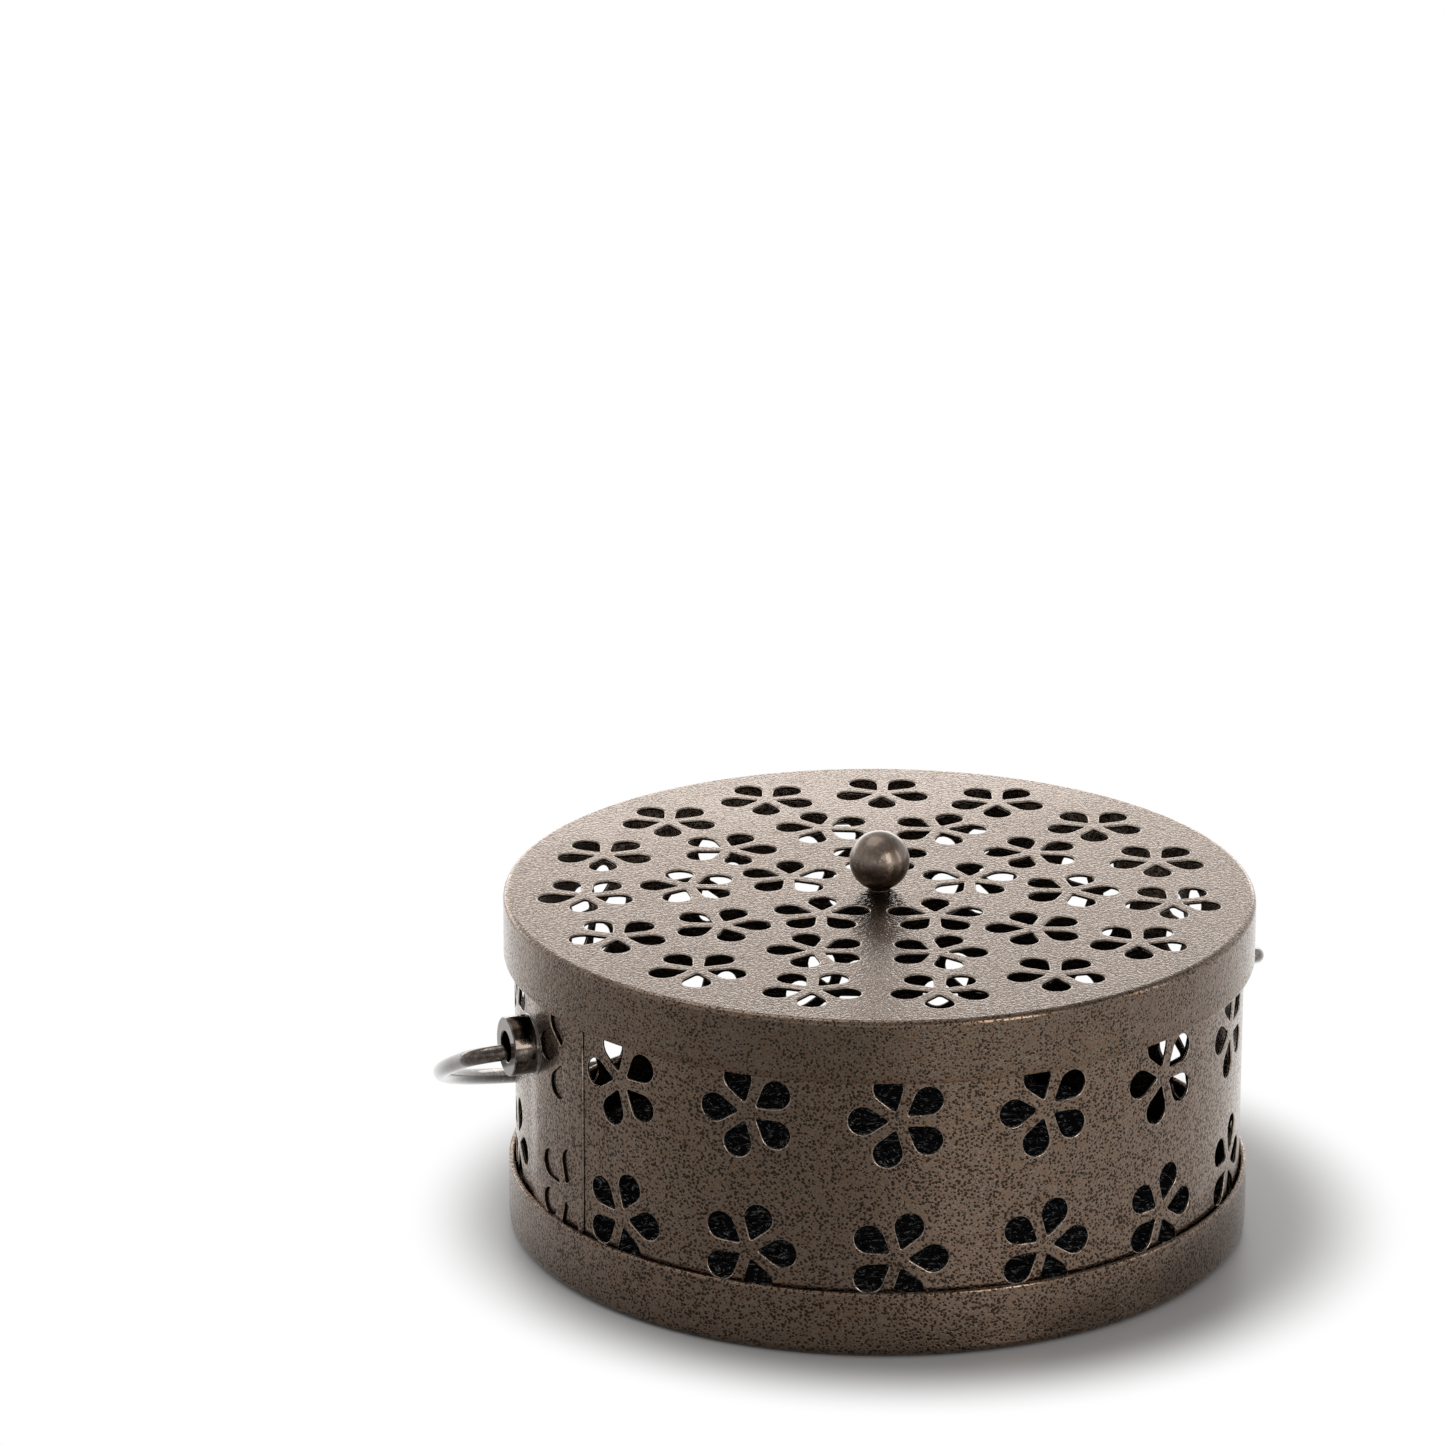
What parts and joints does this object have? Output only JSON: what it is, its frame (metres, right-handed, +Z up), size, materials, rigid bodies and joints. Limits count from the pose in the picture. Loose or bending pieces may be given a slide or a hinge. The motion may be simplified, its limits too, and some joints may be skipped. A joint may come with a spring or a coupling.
{
  "type": "incense coil burner",
  "caption": "Round lidded burner for incense coils: sheet-steel pan, wall and lid pierced with five-petal flowers, ball knob and a folding wire bail.",
  "frame": {"origin": "centre of the base pan's underside, on the table", "axes": "+Z up, X along the bail's pivot axis, +Y towards the back, where the bail lies folded down"},
  "size_m": [0.1732, 0.1648, 0.0811],
  "materials": {
    "hammertone": "glossy antique-bronze hammertone coat with dark speckles",
    "dark_bronze": "glossy dark bronze coat, worn brighter on the edges",
    "plated_steel": "zinc-plated",
    "glass_fibre": "coarse plain weave of flat glass rovings"
  },
  "bodies": {
    "body": {"base_pan": "hammertone", "body_wall": "hammertone", "left_bush": "dark_bronze", "right_bush": "dark_bronze", "fibre_mat": "glass_fibre"},
    "lid": {"lid_shell": "hammertone", "lid_knob": "dark_bronze", "knob_washer": "plated_steel", "knob_screw": "plated_steel"},
    "bail": {"bail_handle": "dark_bronze"}
  },
  "joints": [
    {"name": "lid_lift", "type": "slide", "parent": "body", "child": "lid", "axis": [0, 0, 1], "range_m": [0, 0.08]},
    {"name": "bail_swing", "type": "hinge", "parent": "body", "child": "bail", "pos_m": [0, 0, 0.04465], "axis": [1, 0, 0], "range_deg": [0, 231.6]}
  ]
}
